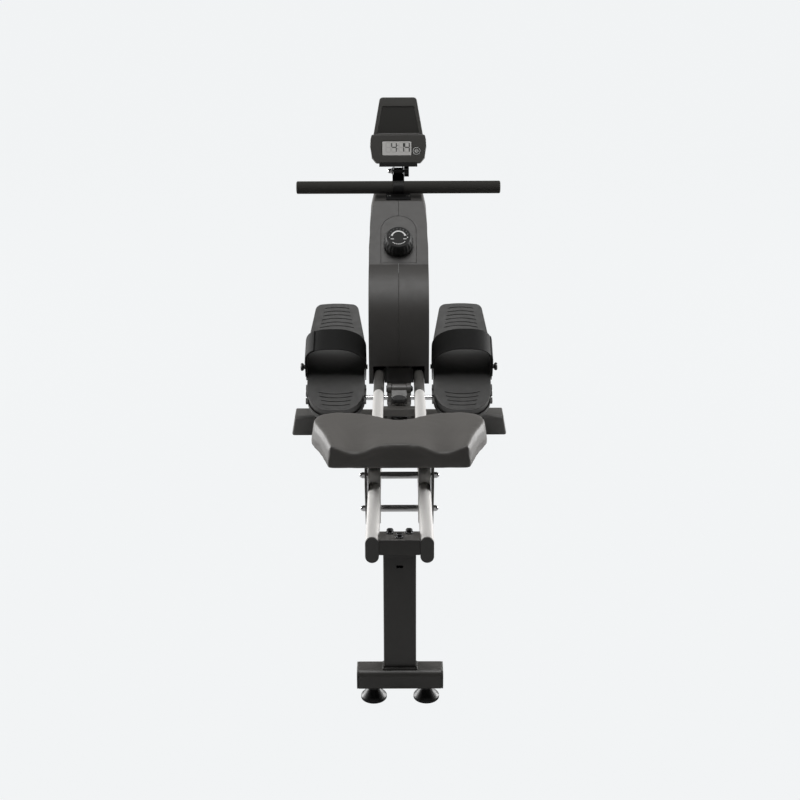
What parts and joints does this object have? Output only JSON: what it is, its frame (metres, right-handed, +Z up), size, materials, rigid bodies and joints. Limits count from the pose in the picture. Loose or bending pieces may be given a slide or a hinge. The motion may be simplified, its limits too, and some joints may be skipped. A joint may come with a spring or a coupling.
{
  "type": "magnetic rowing machine",
  "caption": "Folding rowing machine with a rolling seat on twin rails, tilting footplates, a pull bar on a strap, a magnetic flywheel in a housing and a tilting display.",
  "frame": {"origin": "middle of the machine's footprint, on the floor under the rear pads and the front stabiliser", "axes": "X to the right of a rower who faces the housing, +Y forward along the rails towards the housing, Z up"},
  "size_m": [0.5716, 1.5868, 0.8472],
  "materials": {
    "frame_paint": "fine satin powder coat",
    "shell_plastic": "fine-grained moulded plastic",
    "black_plastic": "moulded plastic",
    "display_plastic": "smooth moulded plastic",
    "back_plastic": "moulded plastic",
    "pedal_plastic": "grained moulded plastic",
    "roller_nylon": "smooth nylon",
    "seat_cover": "soft matt vinyl",
    "rail_silver": "satin",
    "bright_steel": "bright zinc or chrome",
    "dark_bolt": "black oxide",
    "cast_wheel": "machined",
    "inner_steel": "plain",
    "foam": "closed-cell foam",
    "rubber_black": "matt rubber",
    "webbing": "woven webbing",
    "lcd": "clear window over a grey liquid-crystal display"
  },
  "bodies": {
    "frame": {"main_frame": "frame_paint", "front_crossbar": "frame_paint", "rail_stubs": "frame_paint", "fold_bracket": "frame_paint", "fold_pin": "bright_steel", "front_stabiliser": "frame_paint", "stabiliser_caps": "black_plastic", "frame_plates": "inner_steel", "shafts": "bright_steel", "drive_belt": "rubber_black", "recoil_spring_drum": "inner_steel", "head_bracket": "frame_paint", "head_screws": "bright_steel", "pull_strap": "webbing", "housing_left": "shell_plastic", "housing_right": "shell_plastic", "knob_panel": "shell_plastic", "clamp_bolt": "bright_steel", "pedal_axle": "bright_steel"},
    "transport_wheel_left": {"transport_wheel_left": "black_plastic"},
    "transport_wheel_right": {"transport_wheel_right": "black_plastic"},
    "flywheel": {"flywheel": "cast_wheel"},
    "drive_pulley": {"drive_pulley": "black_plastic"},
    "strap_reel": {"strap_reel": "black_plastic"},
    "magnet_arm": {"magnet_arm": "inner_steel"},
    "guide_roller": {"guide_roller": "black_plastic"},
    "tension_knob": {"tension_knob": "display_plastic"},
    "display": {"display_bracket": "frame_paint", "display_back": "back_plastic", "display_front": "display_plastic", "display_lens": "lcd"},
    "display_button": {"display_button": "display_plastic"},
    "clamp_knob": {"clamp_knob": "black_plastic"},
    "handle": {"bar_tube": "frame_paint", "bar_grips": "foam", "bar_collar": "black_plastic"},
    "rail_section": {"rails": "rail_silver", "rear_end_caps": "black_plastic", "rear_crossbar": "frame_paint", "crossbar_bolts": "dark_bolt", "rear_leg": "frame_paint", "fold_tongue": "frame_paint", "rail_stops": "rubber_black"},
    "rear_pad_left": {"rear_pad_left": "rubber_black"},
    "rear_pad_right": {"rear_pad_right": "rubber_black"},
    "lock_knob": {"lock_knob": "black_plastic"},
    "seat_carriage": {"seat_plates": "frame_paint", "seat_base": "frame_paint", "seat_pad": "seat_cover", "seat_axles": "bright_steel"},
    "roller_upper_rear": {"rollers_upper_rear": "roller_nylon"},
    "roller_upper_front": {"rollers_upper_front": "roller_nylon"},
    "roller_lower": {"rollers_lower": "roller_nylon"},
    "pedal_left": {"pedal_left": "pedal_plastic", "foot_strap_left": "webbing"},
    "pedal_right": {"pedal_right": "pedal_plastic", "foot_strap_right": "webbing"},
    "strap_knob_left": {"strap_knob_left": "black_plastic"},
    "strap_knob_right": {"strap_knob_right": "black_plastic"}
  },
  "joints": [
    {"name": "fold_hinge", "type": "hinge", "parent": "frame", "child": "rail_section", "pos_m": [0, 0.22423, 0.23717], "axis": [-1, 0, 0], "range_deg": [0, 82]},
    {"name": "lock_slide", "type": "slide", "parent": "rail_section", "child": "lock_knob", "axis": [0, 0.0872, 0.9962], "range_m": [0, 0.012], "stiffness_N_per_m": 500},
    {"name": "seat_slide", "type": "slide", "parent": "rail_section", "child": "seat_carriage", "axis": [0, 0.9962, -0.0872], "range_m": [-0.22, 0.468]},
    {"name": "roller_upper_rear_spin", "type": "hinge", "parent": "seat_carriage", "child": "roller_upper_rear", "pos_m": [0, -0.4643, 0.31849], "axis": [1, 0, 0], "range_deg": [-1800, 860]},
    {"name": "roller_upper_front_spin", "type": "hinge", "parent": "seat_carriage", "child": "roller_upper_front", "pos_m": [0, -0.36468, 0.30978], "axis": [1, 0, 0], "range_deg": [-1800, 860]},
    {"name": "roller_lower_spin", "type": "hinge", "parent": "seat_carriage", "child": "roller_lower", "pos_m": [0, -0.42225, 0.22547], "axis": [1, 0, 0], "range_deg": [-540, 1130]},
    {"name": "rear_pad_left_screw", "type": "hinge", "parent": "rail_section", "child": "rear_pad_left", "pos_m": [-0.049, -0.7695, 0.028], "axis": [0, 0, 1], "continuous": true},
    {"name": "rear_pad_right_screw", "type": "hinge", "parent": "rail_section", "child": "rear_pad_right", "pos_m": [0.049, -0.7695, 0.028], "axis": [0, 0, 1], "continuous": true},
    {"name": "pedal_left_tilt", "type": "hinge", "parent": "frame", "child": "pedal_left", "pos_m": [-0.159, 0.34361, 0.1675], "axis": [1, 0, 0], "range_deg": [-10, 10]},
    {"name": "strap_knob_left_turn", "type": "hinge", "parent": "pedal_left", "child": "strap_knob_left", "pos_m": [-0.239, 0.3998, 0.23001], "axis": [1, 0, 0], "continuous": true},
    {"name": "pedal_right_tilt", "type": "hinge", "parent": "frame", "child": "pedal_right", "pos_m": [0.159, 0.34361, 0.1675], "axis": [1, 0, 0], "range_deg": [-10, 10]},
    {"name": "strap_knob_right_turn", "type": "hinge", "parent": "pedal_right", "child": "strap_knob_right", "pos_m": [0.239, 0.3998, 0.23001], "axis": [1, 0, 0], "continuous": true},
    {"name": "handle_pull", "type": "slide", "parent": "frame", "child": "handle", "axis": [0, -1, 0], "range_m": [0, 1], "stiffness_N_per_m": 8, "springref_m": -1.5, "deforming": ["pull_strap"]},
    {"name": "reel_spin", "type": "hinge", "parent": "frame", "child": "strap_reel", "pos_m": [0, 0.6515, 0.478], "axis": [1, 0, 0], "range_deg": [-10, 1630]},
    {"name": "guide_roller_spin", "type": "hinge", "parent": "frame", "child": "guide_roller", "pos_m": [0, 0.7125, 0.617], "axis": [1, 0, 0], "range_deg": [-10, 6380]},
    {"name": "tension_knob_turn", "type": "hinge", "parent": "frame", "child": "tension_knob", "pos_m": [0, 0.5375, 0.512], "axis": [0, -0.6508, 0.7593], "range_deg": [0, 280]},
    {"name": "magnet_arm_swing", "type": "hinge", "parent": "frame", "child": "magnet_arm", "pos_m": [0, 0.4325, 0.25], "axis": [-1, 0, 0], "range_deg": [0, 3.5]},
    {"name": "flywheel_spin", "type": "hinge", "parent": "frame", "child": "flywheel", "pos_m": [0, 0.5635, 0.305], "axis": [1, 0, 0], "continuous": true},
    {"name": "drive_pulley_spin", "type": "hinge", "parent": "frame", "child": "drive_pulley", "pos_m": [0, 0.6515, 0.478], "axis": [1, 0, 0], "continuous": true},
    {"name": "display_tilt", "type": "hinge", "parent": "frame", "child": "display", "pos_m": [0, 0.7125, 0.664], "axis": [1, 0, 0], "range_deg": [-15, 25]},
    {"name": "display_button_press", "type": "slide", "parent": "display", "child": "display_button", "axis": [0, 0.9397, -0.342], "range_m": [0, 0.001], "stiffness_N_per_m": 600},
    {"name": "clamp_knob_turn", "type": "hinge", "parent": "frame", "child": "clamp_knob", "pos_m": [0.02, 0.7125, 0.664], "axis": [1, 0, 0], "continuous": true},
    {"name": "wheel_left_spin", "type": "hinge", "parent": "frame", "child": "transport_wheel_left", "pos_m": [-0.15, 0.5955, 0.031], "axis": [1, 0, 0], "continuous": true},
    {"name": "wheel_right_spin", "type": "hinge", "parent": "frame", "child": "transport_wheel_right", "pos_m": [0.15, 0.5955, 0.031], "axis": [1, 0, 0], "continuous": true}
  ],
  "couplings": [
    {"joint": "roller_upper_rear_spin", "follows": "seat_slide", "rad_per_m": -66.667},
    {"joint": "roller_upper_front_spin", "follows": "seat_slide", "rad_per_m": -66.667},
    {"joint": "roller_lower_spin", "follows": "seat_slide", "rad_per_m": 41.667},
    {"joint": "reel_spin", "follows": "handle_pull", "rad_per_m": 28.169},
    {"joint": "guide_roller_spin", "follows": "handle_pull", "rad_per_m": 111.11},
    {"joint": "magnet_arm_swing", "follows": "tension_knob_turn", "ratio": 0.012},
    {"joint": "drive_pulley_spin", "follows": "flywheel_spin", "ratio": 0.31}
  ]
}
